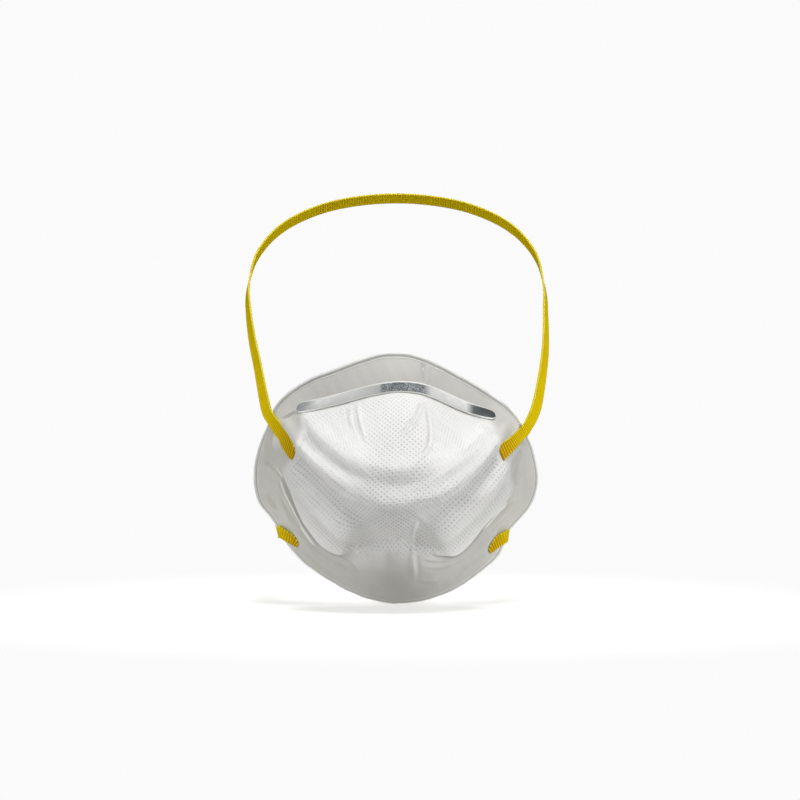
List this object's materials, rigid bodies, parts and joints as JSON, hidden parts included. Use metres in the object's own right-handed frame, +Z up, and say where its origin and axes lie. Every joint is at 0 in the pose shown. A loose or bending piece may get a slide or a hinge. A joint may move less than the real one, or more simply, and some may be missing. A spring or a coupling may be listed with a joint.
{
  "type": "disposable dust mask",
  "caption": "Moulded cup dust mask of layered non-woven web with a smooth sealing skirt, a soft metal nose clip and two yellow elastic headbands that swing and stretch.",
  "frame": {"origin": "middle of the nose foam's resting face, where the mask sits on the bridge of the nose", "axes": "+Z up the face, -Y out through the front of the cup, +X towards the wearer's left; X = 0 is the plane of symmetry"},
  "size_m": [0.1614, 0.2071, 0.2197],
  "materials": {
    "outer_cover_web": "matt embossed non-woven",
    "filter_web_front": "fine melt-blown fibre",
    "filter_web_rear": "fine melt-blown fibre",
    "support_shell": "stiff moulded fibre",
    "inner_cover_web": "soft smooth non-woven",
    "nose_clip": "soft annealed, satin",
    "nose_foam": "open-cell foam",
    "nose_foam_adhesive": "clear pressure-sensitive film",
    "upper_strap_end_left": "knitted elastic",
    "upper_strap_end_right": "knitted elastic",
    "upper_strap_left_side": "knitted elastic",
    "upper_strap_right_side": "knitted elastic",
    "upper_strap_back": "knitted elastic",
    "lower_strap_end_left": "knitted elastic",
    "lower_strap_end_right": "knitted elastic",
    "lower_strap_left_side": "knitted elastic",
    "lower_strap_right_side": "knitted elastic",
    "lower_strap_back": "knitted elastic"
  },
  "bodies": {
    "mask": {"outer_cover_web": "outer_cover_web", "filter_web_front": "filter_web_front", "filter_web_rear": "filter_web_rear", "support_shell": "support_shell", "inner_cover_web": "inner_cover_web", "nose_clip": "nose_clip", "nose_foam": "nose_foam", "nose_foam_adhesive": "nose_foam_adhesive", "upper_strap_end_left": "upper_strap_end_left", "upper_strap_end_right": "upper_strap_end_right", "lower_strap_end_left": "lower_strap_end_left", "lower_strap_end_right": "lower_strap_end_right"},
    "upper_strap": {"upper_strap_left_side": "upper_strap_left_side", "upper_strap_right_side": "upper_strap_right_side"},
    "upper_strap_rear": {"upper_strap_back": "upper_strap_back"},
    "lower_strap": {"lower_strap_left_side": "lower_strap_left_side", "lower_strap_right_side": "lower_strap_right_side"},
    "lower_strap_rear": {"lower_strap_back": "lower_strap_back"}
  },
  "joints": [
    {"name": "upper_strap_swing", "type": "hinge", "parent": "mask", "child": "upper_strap", "pos_m": [0, 0.01831, -0.01949], "axis": [1, 0, 0], "range_deg": [-20, 110]},
    {"name": "upper_strap_stretch", "type": "slide", "parent": "upper_strap", "child": "upper_strap_rear", "axis": [0, 0.7071, 0.7071], "range_m": [0, 0.05], "stiffness_N_per_m": 20},
    {"name": "lower_strap_swing", "type": "hinge", "parent": "mask", "child": "lower_strap", "pos_m": [0, 0.02631, -0.07649], "axis": [1, 0, 0], "range_deg": [-115, 12]},
    {"name": "lower_strap_stretch", "type": "slide", "parent": "lower_strap", "child": "lower_strap_rear", "axis": [0, 0.9936, 0.1132], "range_m": [0, 0.05], "stiffness_N_per_m": 20}
  ]
}
